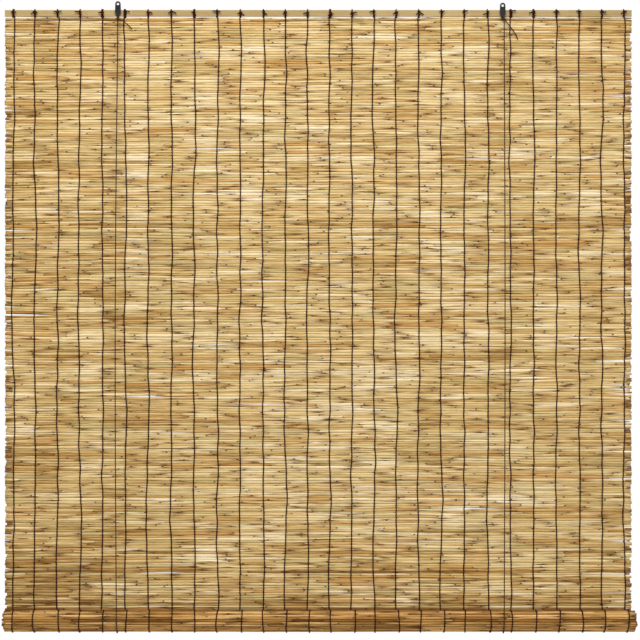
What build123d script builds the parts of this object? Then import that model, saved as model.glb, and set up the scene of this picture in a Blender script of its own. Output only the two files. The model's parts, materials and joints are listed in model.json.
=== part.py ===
from build123d import *
import os
from math import hypot, pi, radians, sin, sqrt, tan

# A roll-up blind of dried reeds bound side by side with twine. It hangs from two moulded
# eyes tied to its head batten, and its lower part is wound up in two slings of lift cord.
#
# Millimetres, X along the reeds, +Z up, and the side that faces the room looks along -Y.
# The origin is the middle of the outer box: midway along the roll, on the roll's axis in Y,
# and halfway between the top of the left hanger and the underside of the slings.

# Overall sizes
blind_height = 1207.0  # top of the left hanger to the underside of the slings
reed_length = 1200.0
roll_diameter = 45.0
mat_shift = -2.4  # the mat hangs this far along X from the roll, which was wound askew

# Reeds: these diameters repeat down the mat
reed_diameters = (4.4, 5.4, 4.0, 5.0, 5.8, 4.6, 5.2, 4.2)
reed_end_scatter = 1.5  # how far the reeds' ends stray from a straight edge
reed_scatter_step = 2.4  # radians from one reed to the next in that stray
turn_step = 0.75  # how far each turn of the roll stands past the one outside it

# Battens, the flat slats at the two ends of the mat
batten_height = 12.5
batten_thickness = 5.0
batten_drop = 16.1  # top of the left hanger to the batten's top edge
batten_to_reeds = 2.6  # the slit that the cord's binding passes through

# Twine
thread_count = 28
thread_edge_margin = 16.2  # reed ends to the first and last threads
thread_wander = 2.5  # how far the threads stray from even spacing
thread_wander_rows = 14.5  # threads from one such stray to the next
twine_width = 1.5
twine_thickness = 0.6
twine_slack = 0.05
thread_knot_diameter = 5.0

# Hangers
hanger_height = 31.5
hanger_width = 11.4
hanger_crown_radius = 5.2
hanger_tip_radius = 3.4
hanger_shoulder_drop = 20.5  # top of the hanger to where its sides start to taper
hanger_thickness = 2.4
hanger_rim = 1.3
hanger_dish = 0.5  # depth of the sunk face inside the rim
upper_eye_diameter = 4.6
upper_eye_drop = 5.4
lower_eye_diameter = 4.2
lower_eye_rise = 3.4  # tip of the hanger to the middle of the lower eye
right_hanger_drop = 3.0  # the right hanger hangs this much lower than the left
left_thread_gap = 4  # the left hanger is past this thread, counted from 0 at the left
left_gap_share = 0.7
right_thread_gap = 5  # the right hanger is before this thread, counted from 0 at the right
right_gap_share = 0.65

# Lift cord
cord_diameter = 2.0
binding_turns = 2
strand_stand_out = 0.4  # how far the strand to the hanger's eye stands out of the binding
cord_knot_diameter = 5.2
left_knot_offset = (0.0, -6.8)  # from the lower eye to the knot, along X and Z
right_knot_offset = (2.6, -4.4)

# Clearances
fitted_gap = 0.1  # cord and battens against what they are tied round or lie in
running_gap = 0.3  # the roll inside its slings, and the roll under the mat
hanger_gap = 0.5  # the tied cord in front of and behind a hanger

# Values that follow from those above
roll_radius = roll_diameter / 2
largest_reed = max(reed_diameters)
mat_y = roll_radius - largest_reed / 2
mat_front_y = roll_radius - largest_reed
mat_back_y = roll_radius
band_radius = roll_radius + twine_thickness
sling_radius = band_radius + running_gap + cord_diameter / 2
top_z = blind_height / 2
roll_z = sling_radius + cord_diameter / 2 - top_z
batten_top_z = top_z - batten_drop
batten_bottom_z = batten_top_z - batten_height
batten_z = batten_top_z - batten_height / 2
batten_front_y = mat_y - batten_thickness / 2
batten_back_y = mat_y + batten_thickness / 2
thread_pitch = (reed_length - 2 * thread_edge_margin) / (thread_count - 1)
first_thread_x = mat_shift - reed_length / 2 + thread_edge_margin
strays = [thread_wander * sin(2 * pi * i / thread_wander_rows) for i in range(thread_count)]
thread_x = [first_thread_x + thread_pitch * i - stray for i, stray in enumerate(strays)]
left_x = thread_x[left_thread_gap] + left_gap_share * thread_pitch
right_x = thread_x[-1 - right_thread_gap] - (1 - right_gap_share) * thread_pitch

# The lowest hanging reed lies behind the roll, a running gap off the threads round it.
reach = band_radius + largest_reed / 2 + running_gap
mat_bottom_z = roll_z + sqrt(reach**2 - mat_y**2) - largest_reed / 2
mat_top_z = batten_bottom_z - batten_to_reeds

os.makedirs("parts", exist_ok=True)


# Hanging reeds, packed down the mat with the space that is left over shared between them
diameters = []
while sum(diameters) + largest_reed < mat_top_z - mat_bottom_z:
    diameters.append(reed_diameters[len(diameters) % len(reed_diameters)])
reed_gap = (mat_top_z - mat_bottom_z - sum(diameters)) / (len(diameters) - 1)
places = {diameter: [] for diameter in diameters}
reed_top_z = mat_top_z
for index, diameter in enumerate(diameters):
    reed_x = mat_shift + reed_end_scatter * sin(reed_scatter_step * index)
    places[diameter].append((reed_x, mat_y, reed_top_z - diameter / 2))
    reed_top_z -= diameter + reed_gap
with BuildPart() as hanging_reeds:
    for diameter, centres in places.items():
        with Locations(*centres):
            Cylinder(diameter / 2, reed_length - 2 * reed_end_scatter, rotation=(0, 90, 0))
hanging_reeds.part.label = "hanging_reeds"
export_step(hanging_reeds.part, "parts/hanging_reeds.step")
print("hanging reeds", len(diameters), "gap", round(reed_gap, 3))

# Head batten, the flat slat that the top of the mat is tied to
with BuildPart() as head_batten:
    with Locations((mat_shift, mat_y, batten_z)):
        Box(reed_length, batten_thickness, batten_height)
    fillet(head_batten.edges().filter_by(Axis.X), radius=batten_thickness / 5)
head_batten.part.label = "head_batten"
export_step(head_batten.part, "parts/head_batten.step")

# Warp threads: each runs down the front, and over the batten's top edge down the back
thread_planes = [Plane.YZ.offset(x) for x in thread_x]
thread_top_z = batten_top_z + twine_slack + twine_thickness
front_thread_y = min(mat_front_y, batten_front_y) - twine_slack - twine_thickness
back_thread_y = max(mat_back_y, batten_back_y) + twine_slack + twine_thickness
front_thread_bottom_z = roll_z + running_gap + sqrt(band_radius**2 - front_thread_y**2)
with BuildPart() as warp_threads:
    with BuildSketch(*thread_planes):
        with Locations((front_thread_y, thread_top_z)):
            Rectangle(
                twine_thickness,
                thread_top_z - front_thread_bottom_z,
                align=(Align.MIN, Align.MAX),
            )
            Rectangle(
                back_thread_y - front_thread_y,
                twine_thickness,
                align=(Align.MIN, Align.MAX),
            )
        with Locations((back_thread_y, thread_top_z)):
            Rectangle(
                twine_thickness,
                thread_top_z - mat_bottom_z,
                align=(Align.MAX, Align.MAX),
            )
    extrude(amount=twine_width / 2, both=True)
warp_threads.part.label = "warp_threads"
export_step(warp_threads.part, "parts/warp_threads.step")

# The knot that ends each thread, on the face of the head batten
knot_y = front_thread_y - fitted_gap - thread_knot_diameter / 2
with BuildPart() as thread_knots:
    with Locations(*[(x, knot_y, batten_z) for x in thread_x]):
        Sphere(thread_knot_diameter / 2)
thread_knots.part.label = "thread_knots"
export_step(thread_knots.part, "parts/thread_knots.step")

# Rolled mat: its turns are one solid, each turn standing a little past the one outside it
roll_turns = int((roll_radius - hypot(batten_height, batten_thickness) / 2) // largest_reed)
outer_turn_half_length = reed_length / 2 + abs(mat_shift)
with BuildPart() as rolled_mat:
    for turn in range(roll_turns):
        with BuildSketch(Plane.YZ):
            with Locations((0, roll_z)):
                Circle(roll_radius - turn * largest_reed)
        extrude(amount=outer_turn_half_length + turn * turn_step, both=True)
    with BuildSketch(Plane.YZ):
        with Locations((0, roll_z)):
            Rectangle(batten_thickness + 2 * fitted_gap, batten_height + 2 * fitted_gap)
    extrude(amount=reed_length, both=True, mode=Mode.SUBTRACT)
rolled_mat.part.label = "rolled_mat"
export_step(rolled_mat.part, "parts/rolled_mat.step")

# Bottom batten, the slat that the mat is wound round
with BuildPart() as bottom_batten:
    with Locations((0, 0, roll_z)):
        Box(reed_length, batten_thickness, batten_height)
    fillet(bottom_batten.edges().filter_by(Axis.X), radius=batten_thickness / 5)
bottom_batten.part.label = "bottom_batten"
export_step(bottom_batten.part, "parts/bottom_batten.step")

# The warp threads where they go round the roll
roll_thread_planes = [Plane.YZ.offset(x - mat_shift) for x in thread_x]
with BuildPart() as roll_threads:
    with BuildSketch(*roll_thread_planes):
        with Locations((0, roll_z)):
            Circle(band_radius)
            Circle(roll_radius, mode=Mode.SUBTRACT)
    extrude(amount=twine_width / 2, both=True)
roll_threads.part.label = "roll_threads"
export_step(roll_threads.part, "parts/roll_threads.step")

# Hangers, and the lift cord at each: the binding round the batten that passes through the
# hanger's lower eye to a knot, its free tail, the front run, the sling and the back run
binding_front_y = batten_front_y - fitted_gap - cord_diameter
strand_front_y = binding_front_y - strand_stand_out
hanger_back_y = strand_front_y - hanger_gap
hanger_front_y = hanger_back_y - hanger_thickness
hanger_y = hanger_back_y - hanger_thickness / 2
cord_knot_y = hanger_front_y - hanger_gap - cord_knot_diameter / 2
leg_y = strand_front_y + cord_diameter / 2

# The tails' points, from the middle of the knot
left_tail_points = [(4.6, 1.0, -1.6), (12.0, 2.9, -5.0), (19.5, 4.0, -10.5), (26.4, 4.4, -17.6)]
right_tail_points = [(3.3, 1.0, -3.2), (10.4, 3.0, -11.6), (17.6, 4.2, -20.6), (23.0, 4.6, -28.6)]
right_tail_points.append((26.4, 4.7, -37.4))

sides = [
    ("left", left_x, top_z, left_knot_offset, left_tail_points),
    ("right", right_x, top_z - right_hanger_drop, right_knot_offset, right_tail_points),
]
for side, x, hanger_top_z, knot_offset, tail_points in sides:
    upper_eye_z = hanger_top_z - upper_eye_drop
    lower_eye_z = hanger_top_z - hanger_height + lower_eye_rise
    knot = Vector(x + knot_offset[0], cord_knot_y, lower_eye_z + knot_offset[1])

    # Hanger: a flat moulding with a raised rim and a boss round each eye
    with BuildPart() as hanger:
        face = Plane(origin=(x, hanger_back_y, 0), x_dir=(1, 0, 0), z_dir=(0, -1, 0))
        with BuildSketch(face) as outline:
            with Locations((0, hanger_top_z - hanger_crown_radius)):
                Circle(hanger_crown_radius)
            with Locations((0, hanger_top_z - hanger_shoulder_drop)):
                Circle(hanger_width / 2)
            with Locations((0, hanger_top_z - hanger_height + hanger_tip_radius)):
                Circle(hanger_tip_radius)
            make_hull()
        extrude(amount=hanger_thickness)
        with BuildSketch(face.offset(hanger_thickness)):
            offset(outline.sketch_local, amount=-hanger_rim)
            with Locations((0, upper_eye_z)):
                Circle(upper_eye_diameter / 2 + hanger_rim, mode=Mode.SUBTRACT)
            with Locations((0, lower_eye_z)):
                Circle(lower_eye_diameter / 2 + hanger_rim, mode=Mode.SUBTRACT)
        extrude(amount=-hanger_dish, mode=Mode.SUBTRACT)
        with Locations(face.offset(hanger_thickness)):
            with Locations((0, upper_eye_z)):
                Hole(upper_eye_diameter / 2, hanger_thickness)
            with Locations((0, lower_eye_z)):
                Hole(lower_eye_diameter / 2, hanger_thickness)
    hanger.part.label = f"{side}_hanger"
    export_step(hanger.part, f"parts/{side}_hanger.step")

    # Binding, its two strands through the lower eye, and the knot in front
    with BuildPart() as cord_knot:
        with BuildSketch(Plane.YZ.offset(x)):
            with Locations((mat_y, batten_z)):
                ring = Rectangle(
                    batten_thickness + 2 * (fitted_gap + cord_diameter),
                    batten_height + 2 * (fitted_gap + cord_diameter),
                )
                fillet(ring.vertices(), radius=cord_diameter)
                Rectangle(
                    batten_thickness + 2 * fitted_gap,
                    batten_height + 2 * fitted_gap,
                    mode=Mode.SUBTRACT,
                )
        extrude(amount=binding_turns * cord_diameter / 2, both=True)
        elbow = Vector(x, leg_y, lower_eye_z)
        with BuildSketch(Plane(origin=elbow, z_dir=(0, 0, 1))):
            Circle(cord_diameter / 2)
        extrude(amount=batten_z - lower_eye_z)
        with BuildSketch(Plane(origin=elbow, z_dir=(0, -1, 0))):
            Circle(cord_diameter / 2)
        extrude(amount=leg_y - cord_knot_y)
        front_elbow = Vector(x, cord_knot_y, lower_eye_z)
        with BuildSketch(Plane(origin=front_elbow, z_dir=knot - front_elbow)):
            Circle(cord_diameter / 2)
        extrude(amount=(knot - front_elbow).length)
        with Locations(elbow, front_elbow):
            Sphere(cord_diameter / 2)
        with Locations(knot):
            Sphere(cord_knot_diameter / 2)
    cord_knot.part.label = f"{side}_cord_knot"
    export_step(cord_knot.part, f"parts/{side}_cord_knot.step")

    # Tail: the free end of the cord past its knot
    towards_tail = Vector(*tail_points[0]).normalized()
    route = [knot + towards_tail * (cord_knot_diameter / 2 + fitted_gap)]
    route += [knot + Vector(*point) for point in tail_points]
    runs = [route[i + 1] - route[i] for i in range(len(route) - 1)]
    corner_radii = []
    for before, after in zip(runs, runs[1:]):
        half_turn = radians(before.get_angle(after)) / 2
        corner_radii.append(0.45 * min(before.length, after.length) / tan(half_turn))
    with BuildPart() as cord_tail:
        with BuildLine() as tail_line:
            tail_path = FilletPolyline(*route, radius=corner_radii)
        with BuildSketch(Plane(origin=tail_path @ 0, z_dir=tail_path % 0)):
            Circle(cord_diameter / 2)
        sweep()
    cord_tail.part.label = f"{side}_cord_tail"
    export_step(cord_tail.part, f"parts/{side}_cord_tail.step")
    straight_volume = tail_path.length * pi * cord_diameter**2 / 4
    print(side, "tail length", round(tail_path.length, 1))
    print(side, "tail radii", [round(radius, 1) for radius in corner_radii])
    print(side, "tail volume over straight", round(cord_tail.part.volume / straight_volume, 4))

    # Front run: pulled tight from the knot to the front of the roll
    sling_front = Vector(x, -sling_radius, roll_z + fitted_gap)
    down = (sling_front - knot).normalized()
    front_top = knot + down * (cord_knot_diameter / 2 + fitted_gap)
    with BuildPart() as cord_front:
        with BuildSketch(Plane(origin=front_top, z_dir=down)):
            Circle(cord_diameter / 2)
        extrude(amount=(sling_front - front_top).length)
    cord_front.part.label = f"{side}_cord_front"
    export_step(cord_front.part, f"parts/{side}_cord_front.step")

    # Sling: half a turn under the roll
    with BuildPart() as cord_sling:
        with BuildLine(Plane.YZ.offset(x)) as sling_line:
            half_turn_path = CenterArc((0, roll_z), sling_radius, 180, 180)
        with BuildSketch(Plane(origin=half_turn_path @ 0, z_dir=half_turn_path % 0)):
            Circle(cord_diameter / 2)
        sweep()
    cord_sling.part.label = f"{side}_cord_sling"
    export_step(cord_sling.part, f"parts/{side}_cord_sling.step")

    # Back run: up the back of the mat to the binding
    back_top_z = batten_bottom_z - cord_diameter - 2 * fitted_gap
    back_bottom_z = roll_z + fitted_gap
    with BuildPart() as cord_back:
        with BuildSketch(Plane.XY.offset(back_bottom_z)):
            with Locations((x, sling_radius)):
                Circle(cord_diameter / 2)
        extrude(amount=back_top_z - back_bottom_z)
    cord_back.part.label = f"{side}_cord_back"
    export_step(cord_back.part, f"parts/{side}_cord_back.step")
    print(side, "upper eye", x, hanger_y, upper_eye_z, "lower eye", x, hanger_y, lower_eye_z)
    print(side, "knot", tuple(knot), "front run", (sling_front - front_top).length)

print("roll axis z", roll_z, "mat", mat_top_z, mat_bottom_z, "mat front y", mat_front_y)
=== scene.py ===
import json
import math
import random

import bpy
from mathutils import Vector, noise

# A roll-up blind of dried reeds bound with dark twine, hung from two black moulded eyes, with
# its lower part wound up in two slings of lift cord. Metres, X along the reeds, +Z up, and
# the side that faces the room looks along -Y.
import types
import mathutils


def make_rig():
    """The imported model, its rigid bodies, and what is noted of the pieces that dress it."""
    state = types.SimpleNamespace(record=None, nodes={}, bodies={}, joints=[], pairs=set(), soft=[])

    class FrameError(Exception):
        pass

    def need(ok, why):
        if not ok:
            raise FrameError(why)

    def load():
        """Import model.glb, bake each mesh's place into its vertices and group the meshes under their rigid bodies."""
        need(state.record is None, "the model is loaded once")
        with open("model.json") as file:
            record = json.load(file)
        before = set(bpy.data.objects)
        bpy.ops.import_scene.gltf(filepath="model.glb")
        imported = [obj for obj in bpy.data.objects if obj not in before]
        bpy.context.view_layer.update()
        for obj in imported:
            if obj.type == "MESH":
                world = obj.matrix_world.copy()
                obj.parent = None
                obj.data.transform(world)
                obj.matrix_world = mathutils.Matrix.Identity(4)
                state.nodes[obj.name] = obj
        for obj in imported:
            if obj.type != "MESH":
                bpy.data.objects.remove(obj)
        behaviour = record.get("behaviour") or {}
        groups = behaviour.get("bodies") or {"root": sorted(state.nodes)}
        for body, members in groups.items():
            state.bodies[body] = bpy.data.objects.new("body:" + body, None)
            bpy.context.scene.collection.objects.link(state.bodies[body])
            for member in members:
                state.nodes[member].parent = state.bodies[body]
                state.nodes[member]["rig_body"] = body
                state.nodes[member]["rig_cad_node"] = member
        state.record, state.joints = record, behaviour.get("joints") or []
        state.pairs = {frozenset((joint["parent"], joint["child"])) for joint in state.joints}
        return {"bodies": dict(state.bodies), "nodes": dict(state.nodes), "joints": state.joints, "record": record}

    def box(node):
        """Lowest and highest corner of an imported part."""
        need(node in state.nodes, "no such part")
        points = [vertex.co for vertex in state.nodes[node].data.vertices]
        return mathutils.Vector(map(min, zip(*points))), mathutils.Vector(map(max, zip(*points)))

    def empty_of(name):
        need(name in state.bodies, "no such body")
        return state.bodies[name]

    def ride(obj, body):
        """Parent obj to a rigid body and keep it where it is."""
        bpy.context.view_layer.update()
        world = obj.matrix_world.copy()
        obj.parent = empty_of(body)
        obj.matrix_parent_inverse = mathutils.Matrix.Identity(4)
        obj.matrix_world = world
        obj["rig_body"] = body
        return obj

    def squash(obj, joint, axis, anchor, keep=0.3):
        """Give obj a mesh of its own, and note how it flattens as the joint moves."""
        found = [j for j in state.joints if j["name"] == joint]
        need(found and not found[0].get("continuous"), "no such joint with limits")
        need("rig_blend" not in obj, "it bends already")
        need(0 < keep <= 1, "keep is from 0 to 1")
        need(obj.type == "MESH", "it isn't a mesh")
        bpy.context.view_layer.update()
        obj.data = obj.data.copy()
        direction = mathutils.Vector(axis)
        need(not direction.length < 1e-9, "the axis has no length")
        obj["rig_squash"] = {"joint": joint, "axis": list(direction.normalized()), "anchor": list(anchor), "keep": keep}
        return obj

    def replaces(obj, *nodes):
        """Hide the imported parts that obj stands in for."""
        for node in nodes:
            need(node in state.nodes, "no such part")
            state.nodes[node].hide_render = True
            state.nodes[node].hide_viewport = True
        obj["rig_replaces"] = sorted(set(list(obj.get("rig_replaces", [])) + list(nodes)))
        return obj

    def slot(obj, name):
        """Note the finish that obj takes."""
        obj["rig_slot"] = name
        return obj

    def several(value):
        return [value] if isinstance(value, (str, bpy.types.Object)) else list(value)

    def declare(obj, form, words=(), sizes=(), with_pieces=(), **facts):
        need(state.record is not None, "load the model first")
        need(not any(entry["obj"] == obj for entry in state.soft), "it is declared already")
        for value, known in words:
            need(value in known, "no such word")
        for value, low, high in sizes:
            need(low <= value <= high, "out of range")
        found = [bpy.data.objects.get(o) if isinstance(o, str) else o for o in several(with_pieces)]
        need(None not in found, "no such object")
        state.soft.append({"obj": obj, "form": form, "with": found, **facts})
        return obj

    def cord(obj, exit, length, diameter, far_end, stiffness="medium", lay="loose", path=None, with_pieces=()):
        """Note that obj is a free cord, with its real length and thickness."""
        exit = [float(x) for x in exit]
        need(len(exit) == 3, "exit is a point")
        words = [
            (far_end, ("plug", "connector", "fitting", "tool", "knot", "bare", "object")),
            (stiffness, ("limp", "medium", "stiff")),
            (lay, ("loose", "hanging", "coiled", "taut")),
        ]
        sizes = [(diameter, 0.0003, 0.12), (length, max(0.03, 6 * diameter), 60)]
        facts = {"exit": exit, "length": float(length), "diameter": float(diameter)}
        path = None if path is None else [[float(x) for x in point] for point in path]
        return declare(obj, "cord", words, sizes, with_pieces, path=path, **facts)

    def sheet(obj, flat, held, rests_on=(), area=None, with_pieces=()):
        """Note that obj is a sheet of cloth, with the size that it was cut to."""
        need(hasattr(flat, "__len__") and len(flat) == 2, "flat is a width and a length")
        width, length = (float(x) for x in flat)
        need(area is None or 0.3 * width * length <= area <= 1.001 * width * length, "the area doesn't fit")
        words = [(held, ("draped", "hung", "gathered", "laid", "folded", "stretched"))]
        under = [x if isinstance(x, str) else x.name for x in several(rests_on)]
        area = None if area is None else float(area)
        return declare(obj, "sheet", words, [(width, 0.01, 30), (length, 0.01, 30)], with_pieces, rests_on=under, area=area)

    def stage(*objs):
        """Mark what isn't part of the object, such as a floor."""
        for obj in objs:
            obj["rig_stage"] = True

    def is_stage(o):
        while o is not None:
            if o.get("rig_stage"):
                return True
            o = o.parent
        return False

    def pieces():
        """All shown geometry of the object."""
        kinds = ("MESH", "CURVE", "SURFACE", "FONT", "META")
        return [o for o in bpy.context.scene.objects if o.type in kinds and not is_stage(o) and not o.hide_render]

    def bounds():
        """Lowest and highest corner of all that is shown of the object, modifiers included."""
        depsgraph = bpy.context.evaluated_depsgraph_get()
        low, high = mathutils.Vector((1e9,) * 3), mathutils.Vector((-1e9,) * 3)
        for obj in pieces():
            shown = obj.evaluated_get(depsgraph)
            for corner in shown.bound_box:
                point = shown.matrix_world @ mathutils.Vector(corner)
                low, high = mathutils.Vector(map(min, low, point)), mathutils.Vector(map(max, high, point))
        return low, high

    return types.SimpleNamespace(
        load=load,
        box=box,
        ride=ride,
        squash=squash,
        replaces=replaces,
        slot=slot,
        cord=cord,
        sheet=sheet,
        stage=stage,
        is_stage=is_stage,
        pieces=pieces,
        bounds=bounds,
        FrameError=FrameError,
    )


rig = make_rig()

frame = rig.load()
low_at_start, high_at_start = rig.bounds()
nodes = frame["nodes"]

MM = 0.001

# Places that come from the fixed frame
SHEET_LOW, SHEET_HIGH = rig.box("hanging_reeds")
BATTEN_LOW, BATTEN_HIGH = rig.box("head_batten")
ROLL_LOW, ROLL_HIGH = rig.box("rolled_mat")
MAT_Y = (SHEET_LOW.y + SHEET_HIGH.y) / 2
MAT_X = (BATTEN_LOW.x + BATTEN_HIGH.x) / 2
BATTEN_Z = (BATTEN_LOW.z + BATTEN_HIGH.z) / 2
ROLL_Z = (ROLL_LOW.z + ROLL_HIGH.z) / 2
ROLL_RADIUS = (ROLL_HIGH.z - ROLL_LOW.z) / 2
HALF_REED = 600 * MM
LIFT = 1.07  # how far the roll climbs

# The rows of twine
THREAD_COUNT = 28
THREAD_MARGIN = 16.2 * MM
THREAD_WANDER = 2.5 * MM
THREAD_WANDER_ROWS = 14.5
THREAD_PITCH = (2 * HALF_REED - 2 * THREAD_MARGIN) / (THREAD_COUNT - 1)
THREAD_X = [
    MAT_X
    - HALF_REED
    + THREAD_MARGIN
    + THREAD_PITCH * i
    - THREAD_WANDER * math.sin(2 * math.pi * i / THREAD_WANDER_ROWS)
    for i in range(THREAD_COUNT)
]
TWINE_RADIUS = 1.15 * MM
CORD_RADIUS = 1.0 * MM

# How round each kind of rod is, and how uneven a reed
REED_SIDES = 8
TWINE_SIDES = 5
TIE_SIDES = 6
CORD_SIDES = 10
REED_UNEVEN = 0.28 * MM
REED_LUMPS_A_METRE = 55.0


# ---------------------------------------------------------------- node helpers


def colour(red, green, blue):
    """A display colour, 0 to 255 a channel, as the linear values that sockets hold."""
    linear = []
    for channel in (red / 255, green / 255, blue / 255):
        dark = channel < 0.04045
        linear.append(channel / 12.92 if dark else ((channel + 0.055) / 1.055) ** 2.4)
    return (*linear, 1.0)


def add(tree, kind, inputs=None, **settings):
    """Adds a node, sets its options, then fills or links its inputs by name or number."""
    node = tree.nodes.new(kind)
    for option, value in settings.items():
        setattr(node, option, value)
    for socket, value in (inputs or {}).items():
        if isinstance(value, bpy.types.NodeSocket):
            tree.links.new(value, node.inputs[socket])
        else:
            node.inputs[socket].default_value = value
    return node


def calc(tree, operation, first, second=0.0):
    node = add(tree, "ShaderNodeMath", {0: first, 1: second}, operation=operation)
    return node.outputs[0]


def blend_colours(tree, amount, first, second):
    """A blend node keeps its colour sockets past the ones for numbers and vectors."""
    inputs = {0: amount, 6: first, 7: second}
    return add(tree, "ShaderNodeMix", inputs, data_type="RGBA").outputs[2]


def fade(tree, value, low, high, start=0.0, end=1.0):
    """Takes low..high to start..end, with a smooth step."""
    node = add(
        tree,
        "ShaderNodeMapRange",
        {"Value": value, 1: low, 2: high, 3: start, 4: end},
        interpolation_type="SMOOTHSTEP",
    )
    return node.outputs[0]


def noise_value(tree, vector, scale, detail=2.0, roughness=0.5):
    node = add(
        tree,
        "ShaderNodeTexNoise",
        {"Vector": vector, "Scale": scale, "Detail": detail, "Roughness": roughness},
    )
    return node.outputs["Fac"]


def ramp(tree, value, stops):
    node = add(tree, "ShaderNodeValToRGB", {"Fac": value})
    elements = node.color_ramp.elements
    elements[0].position, elements[0].color = stops[0]
    elements[1].position, elements[1].color = stops[-1]
    for position, shade in stops[1:-1]:
        elements.new(position).color = shade
    return node.outputs["Color"]


def vector(tree, x, y, z):
    return add(tree, "ShaderNodeCombineXYZ", {0: x, 1: y, 2: z}).outputs[0]


def scaled(tree, value, factors):
    node = add(tree, "ShaderNodeVectorMath", {0: value, 1: factors}, operation="MULTIPLY")
    return node.outputs[0]


def new_group(name, kind, inputs, outputs):
    """A node group with named sockets, and its two end nodes."""
    group = bpy.data.node_groups.new(name, kind)
    for title, socket_type in inputs:
        group.interface.new_socket(title, in_out="INPUT", socket_type=socket_type)
    for title, socket_type in outputs:
        group.interface.new_socket(title, in_out="OUTPUT", socket_type=socket_type)
    return group, group.nodes.new("NodeGroupInput"), group.nodes.new("NodeGroupOutput")


# --------------------------------------------------------- shared shading groups


def stem_grain_group():
    """The grain of a dried stem: long fibres, dark streaks, a tone and a hue of its own for
    each stretch between two joints, the dark marks at the joints and the bruises by them."""
    group, given, result = new_group(
        "Stem grain",
        "ShaderNodeTree",
        [
            ("Along", "NodeSocketFloat"),
            ("Round", "NodeSocketVector"),
            ("Seed", "NodeSocketFloat"),
        ],
        [
            ("Fibres", "NodeSocketFloat"),
            ("Streaks", "NodeSocketFloat"),
            ("Stretch tone", "NodeSocketFloat"),
            ("Stretch hue", "NodeSocketFloat"),
            ("Joints", "NodeSocketFloat"),
            ("Bruises", "NodeSocketFloat"),
        ],
    )
    along, around, seed = given.outputs[0], given.outputs[1], given.outputs[2]
    across = add(group, "ShaderNodeSeparateXYZ", {0: around})
    fibres_a_metre, streaks_a_metre = 24.0, 17.0
    joints_a_metre, sides_a_metre = 9.4, 5.0
    shift = calc(group, "MULTIPLY", seed, 61.0)  # far enough for no two stems to be alike

    def stretched(length_scale, round_scale, offset):
        x = calc(group, "MULTIPLY", along, length_scale)
        y = calc(group, "MULTIPLY", across.outputs[0], round_scale)
        z = calc(group, "MULTIPLY", across.outputs[1], round_scale)
        y = calc(group, "ADD", calc(group, "ADD", y, shift), offset)
        return vector(group, x, y, z)

    fibres = noise_value(group, stretched(fibres_a_metre, 3.6, 0.0), 1.0, 4.0, 0.62)
    dark = noise_value(group, stretched(streaks_a_metre, 2.3, 9.0), 1.0, 2.0, 0.55)
    streaks = fade(group, dark, 0.6, 0.64)
    place = calc(group, "ADD", calc(group, "MULTIPLY", along, joints_a_metre), shift)
    cell = add(
        group, "ShaderNodeTexVoronoi", {"W": place, "Scale": 1.0}, voronoi_dimensions="1D"
    )
    hues = add(group, "ShaderNodeSeparateColor", {0: cell.outputs["Color"]})
    edge = add(
        group,
        "ShaderNodeTexVoronoi",
        {"W": place, "Scale": 1.0},
        voronoi_dimensions="1D",
        feature="DISTANCE_TO_EDGE",
    )
    near = edge.outputs["Distance"]
    # A joint's dark mark is short, and on one part of the round.
    side = vector(group, calc(group, "MULTIPLY", along, sides_a_metre), shift, 3.0)
    side = fade(group, noise_value(group, side, 1.0), 0.35, 0.65, -0.7, 0.7)
    facing = calc(group, "ABSOLUTE", calc(group, "SUBTRACT", across.outputs[1], side))
    facing = fade(group, facing, 0.15, 0.5, 1.0, 0.0)
    joints = calc(group, "MULTIPLY", facing, fade(group, near, 0.008, 0.026, 1.0, 0.0))
    # Where the stem is streaked anyway, a bruise trails off along it from the joint.
    trail = fade(group, near, 0.02, 0.26, 1.0, 0.0)
    bruises = calc(group, "MULTIPLY", trail, fade(group, dark, 0.49, 0.56))
    made = (fibres, streaks, hues.outputs[0], hues.outputs[1], joints, bruises)
    for number, value in enumerate(made):
        group.links.new(value, result.inputs[number])
    return group


def strand_lay_group():
    """The slanting ridges of a twisted strand."""
    group, given, result = new_group(
        "Strand lay",
        "ShaderNodeTree",
        [
            ("Along", "NodeSocketFloat"),
            ("Round", "NodeSocketVector"),
            ("Turns a metre", "NodeSocketFloat"),
        ],
        [("Ridges", "NodeSocketFloat"), ("Fuzz", "NodeSocketFloat")],
    )
    across = add(group, "ShaderNodeSeparateXYZ", {0: given.outputs[1]})
    angle = calc(group, "ARCTAN2", across.outputs[1], across.outputs[0])
    climb = calc(group, "MULTIPLY", given.outputs[0], given.outputs[2])
    climb = calc(group, "MULTIPLY", climb, 2 * math.pi)
    phase = calc(group, "ADD", calc(group, "MULTIPLY", angle, 2.0), climb)
    ridges = calc(group, "ABSOLUTE", calc(group, "SINE", phase))
    place = scaled(group, given.outputs[1], (3.0, 3.0, 1.0))
    lifted = vector(group, 0.0, 0.0, calc(group, "MULTIPLY", given.outputs[0], 900.0))
    place = add(group, "ShaderNodeVectorMath", {0: place, 1: lifted}, operation="ADD")
    fuzz = noise_value(group, place.outputs[0], 1.0, 3.0, 0.7)
    group.links.new(ridges, result.inputs[0])
    group.links.new(fuzz, result.inputs[1])
    return group


def fine_grain_group():
    """A fine even grain, with a few larger marks, for moulded and planed faces."""
    group, given, result = new_group(
        "Fine grain",
        "ShaderNodeTree",
        [("Place", "NodeSocketVector"), ("Grains a metre", "NodeSocketFloat")],
        [("Grain", "NodeSocketFloat"), ("Marks", "NodeSocketFloat")],
    )
    grain = noise_value(group, given.outputs[0], given.outputs[1], 3.0, 0.6)
    wide = calc(group, "MULTIPLY", given.outputs[1], 0.11)
    marks = fade(group, noise_value(group, given.outputs[0], wide, 3.0, 0.7), 0.55, 0.75)
    group.links.new(grain, result.inputs[0])
    group.links.new(marks, result.inputs[1])
    return group


STEM_GRAIN = stem_grain_group()
STRAND_LAY = strand_lay_group()
FINE_GRAIN = fine_grain_group()


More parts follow.
